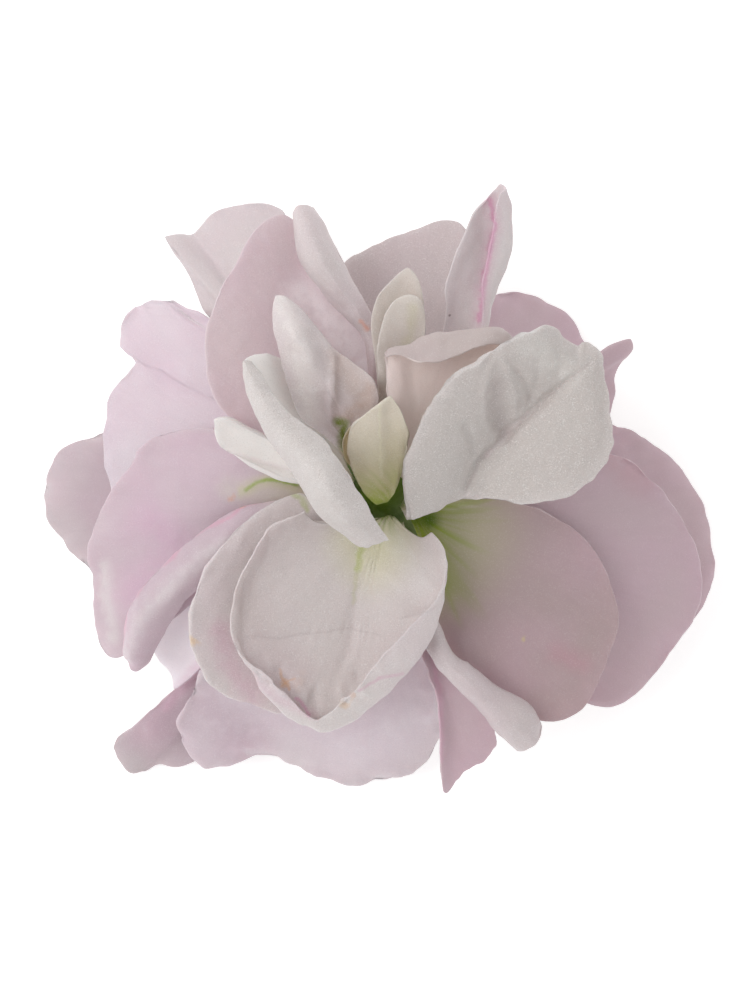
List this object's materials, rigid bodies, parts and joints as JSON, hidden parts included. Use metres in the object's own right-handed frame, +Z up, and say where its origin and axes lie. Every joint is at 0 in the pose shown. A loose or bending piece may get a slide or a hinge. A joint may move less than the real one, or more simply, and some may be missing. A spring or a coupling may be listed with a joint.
{
  "type": "double stock flower",
  "caption": "Single picked bloom of double-flowered stock, ruffled pale pink outer petals folding round white and cream inner ones over a short cut stalk; decorative cut flower.",
  "frame": {"origin": "Under the middle of the bloom's bounding box, on the surface that it rests on", "axes": "+X to the right and +Y to the top of the bloom as seen from above, +X along its longest extent; +Z up out of the bloom's face, its shortest extent"},
  "size_m": [0.0486, 0.0432, 0.0273],
  "materials": {
    "outer_petal_right_low": "fresh petal, soft satin sheen with a fine sparkle of surface cells, slightly translucent",
    "outer_petal_far_left": "fresh petal, soft satin sheen with a fine sparkle of surface cells, slightly translucent",
    "outer_petal_bottom_left": "fresh petal, soft satin sheen with a fine sparkle of surface cells, slightly translucent",
    "outer_petal_lower_left": "fresh petal, soft satin sheen with a fine sparkle of surface cells, slightly translucent",
    "outer_petal_upper_right": "fresh petal, soft satin sheen with a fine sparkle of surface cells, slightly translucent",
    "outer_petal_right_curled": "fresh petal, soft satin sheen with a fine sparkle of surface cells, slightly translucent",
    "outer_petal_top": "fresh petal, soft satin sheen with a fine sparkle of surface cells, slightly translucent",
    "outer_petal_top_left": "fresh petal, soft satin sheen with a fine sparkle of surface cells, slightly translucent",
    "outer_petal_upper_left": "fresh petal, soft satin sheen with a fine sparkle of surface cells, slightly translucent",
    "outer_petal_bottom": "fresh petal, soft satin sheen with a fine sparkle of surface cells, slightly translucent",
    "outer_petal_right": "fresh petal, soft satin sheen with a fine sparkle of surface cells, slightly translucent",
    "outer_petal_left": "fresh petal, soft satin sheen with a fine sparkle of surface cells, slightly translucent",
    "middle_petal_top_right": "fresh petal, soft satin sheen with a fine sparkle of surface cells, slightly translucent",
    "middle_petal_top_left": "fresh petal, soft satin sheen with a fine sparkle of surface cells, slightly translucent",
    "middle_petal_top_rolled": "fresh petal, soft satin sheen with a fine sparkle of surface cells, slightly translucent",
    "middle_petal_left_rolled": "fresh petal, soft satin sheen with a fine sparkle of surface cells, slightly translucent",
    "middle_petal_lower_left_cup": "fresh petal, soft satin sheen with a fine sparkle of surface cells, slightly translucent",
    "middle_petal_lower_right": "fresh petal, soft satin sheen with a fine sparkle of surface cells, slightly translucent",
    "middle_petal_bottom_pointed": "fresh petal, soft satin sheen with a fine sparkle of surface cells, slightly translucent",
    "middle_petal_bottom_rolled": "fresh petal, soft satin sheen with a fine sparkle of surface cells, slightly translucent",
    "middle_petal_left_small": "fresh petal, soft satin sheen with a fine sparkle of surface cells, slightly translucent",
    "middle_petal_top_cream": "fresh petal, soft satin sheen with a fine sparkle of surface cells, slightly translucent",
    "inner_petal_top_cream": "fresh petal, soft satin sheen with a fine sparkle of surface cells, slightly translucent",
    "inner_petal_left_hood": "fresh petal, soft satin sheen with a fine sparkle of surface cells, slightly translucent",
    "inner_petal_bottom_cup": "fresh petal, soft satin sheen with a fine sparkle of surface cells, slightly translucent",
    "inner_petal_upper_left": "fresh petal, soft satin sheen with a fine sparkle of surface cells, slightly translucent",
    "inner_petal_upper_right_rolled": "fresh petal, soft satin sheen with a fine sparkle of surface cells, slightly translucent",
    "heart_petal_left": "fresh petal, soft satin sheen with a fine sparkle of surface cells, slightly translucent",
    "heart_petal_centre": "fresh petal, soft satin sheen with a fine sparkle of surface cells, slightly translucent",
    "inner_petal_right_large": "fresh petal, soft satin sheen with a fine sparkle of surface cells, slightly translucent",
    "inner_petal_front_folded": "fresh petal, soft satin sheen with a fine sparkle of surface cells, slightly translucent",
    "sepal_1": "fresh green sepal with a faint grey down, matte",
    "sepal_2": "fresh green sepal with a faint grey down, matte",
    "sepal_3": "fresh green sepal with a faint grey down, matte",
    "sepal_4": "fresh green sepal with a faint grey down, matte",
    "receptacle_and_stalk": "pale green fleshy stalk and receptacle, matte, a little downy"
  },
  "bodies": {
    "root": {"outer_petal_right_low": "outer_petal_right_low", "outer_petal_far_left": "outer_petal_far_left", "outer_petal_bottom_left": "outer_petal_bottom_left", "outer_petal_lower_left": "outer_petal_lower_left", "outer_petal_upper_right": "outer_petal_upper_right", "outer_petal_right_curled": "outer_petal_right_curled", "outer_petal_top": "outer_petal_top", "outer_petal_top_left": "outer_petal_top_left", "outer_petal_upper_left": "outer_petal_upper_left", "outer_petal_bottom": "outer_petal_bottom", "outer_petal_right": "outer_petal_right", "outer_petal_left": "outer_petal_left", "middle_petal_top_right": "middle_petal_top_right", "middle_petal_top_left": "middle_petal_top_left", "middle_petal_top_rolled": "middle_petal_top_rolled", "middle_petal_left_rolled": "middle_petal_left_rolled", "middle_petal_lower_left_cup": "middle_petal_lower_left_cup", "middle_petal_lower_right": "middle_petal_lower_right", "middle_petal_bottom_pointed": "middle_petal_bottom_pointed", "middle_petal_bottom_rolled": "middle_petal_bottom_rolled", "middle_petal_left_small": "middle_petal_left_small", "middle_petal_top_cream": "middle_petal_top_cream", "inner_petal_top_cream": "inner_petal_top_cream", "inner_petal_left_hood": "inner_petal_left_hood", "inner_petal_bottom_cup": "inner_petal_bottom_cup", "inner_petal_upper_left": "inner_petal_upper_left", "inner_petal_upper_right_rolled": "inner_petal_upper_right_rolled", "heart_petal_left": "heart_petal_left", "heart_petal_centre": "heart_petal_centre", "inner_petal_right_large": "inner_petal_right_large", "inner_petal_front_folded": "inner_petal_front_folded", "sepal_1": "sepal_1", "sepal_2": "sepal_2", "sepal_3": "sepal_3", "sepal_4": "sepal_4", "receptacle_and_stalk": "receptacle_and_stalk"}
  },
  "joints": []
}
